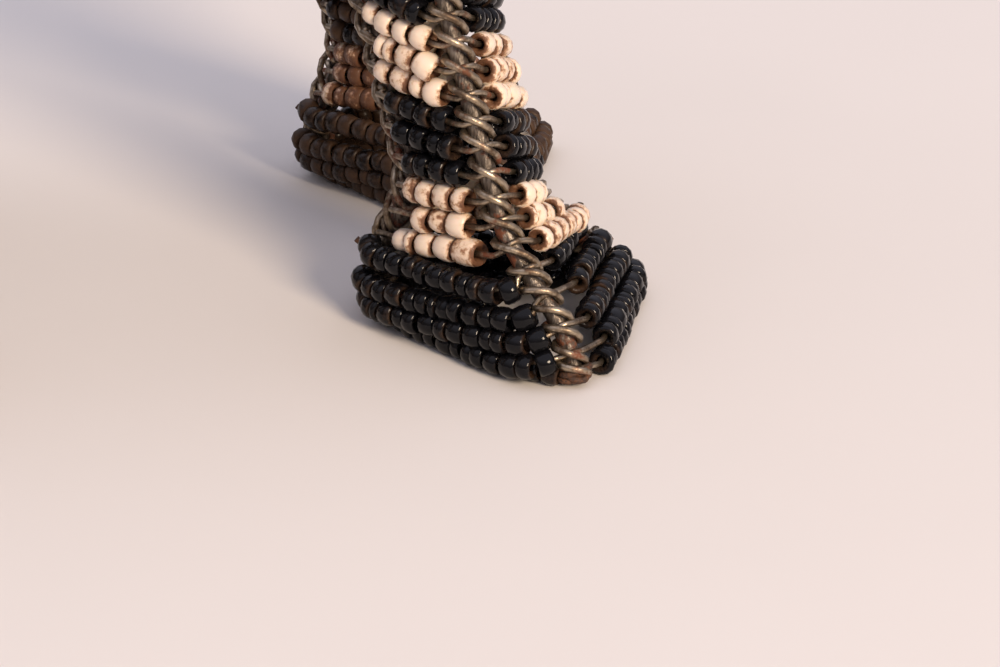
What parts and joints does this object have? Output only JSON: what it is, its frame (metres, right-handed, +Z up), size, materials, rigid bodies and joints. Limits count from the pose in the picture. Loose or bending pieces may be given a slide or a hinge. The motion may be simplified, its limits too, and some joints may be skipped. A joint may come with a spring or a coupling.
{
  "type": "beadwork zebra figure",
  "caption": "Standing zebra figurine of cream and black glass beads strung on wire over a wire frame, with flared three-cornered hooves.",
  "frame": {"origin": "on the ground, below the middle of the figure's outer box", "axes": "+X towards the head, +Y towards the animal's left side, +Z up"},
  "size_m": [0.1556, 0.0782, 0.1729],
  "materials": {
    "striped_beads": "opaque glass beads, cream and black in stripes, glossy with grime in the grooves",
    "black_beads": "opaque black glass beads, glossy",
    "armature_wire": "dull grey-brown wire with specks of rust"
  },
  "bodies": {
    "root": {"barrel_beads": "striped_beads", "neck_beads": "striped_beads", "head_beads": "striped_beads", "mane_beads": "striped_beads", "ear_left_beads": "striped_beads", "ear_right_beads": "striped_beads", "eye_left": "black_beads", "eye_right": "black_beads", "tail_string": "black_beads", "tail_tuft": "black_beads", "leg_front_left_beads": "striped_beads", "leg_front_left_wire_1": "armature_wire", "leg_front_left_wire_2": "armature_wire", "leg_front_left_wire_3": "armature_wire", "hoof_front_left_beads": "black_beads", "leg_front_right_beads": "striped_beads", "leg_front_right_wire_1": "armature_wire", "leg_front_right_wire_2": "armature_wire", "leg_front_right_wire_3": "armature_wire", "hoof_front_right_beads": "black_beads", "leg_hind_left_beads": "striped_beads", "leg_hind_left_wire_1": "armature_wire", "leg_hind_left_wire_2": "armature_wire", "leg_hind_left_wire_3": "armature_wire", "hoof_hind_left_beads": "black_beads", "leg_hind_right_beads": "striped_beads", "leg_hind_right_wire_1": "armature_wire", "leg_hind_right_wire_2": "armature_wire", "leg_hind_right_wire_3": "armature_wire", "hoof_hind_right_beads": "black_beads"}
  },
  "joints": []
}
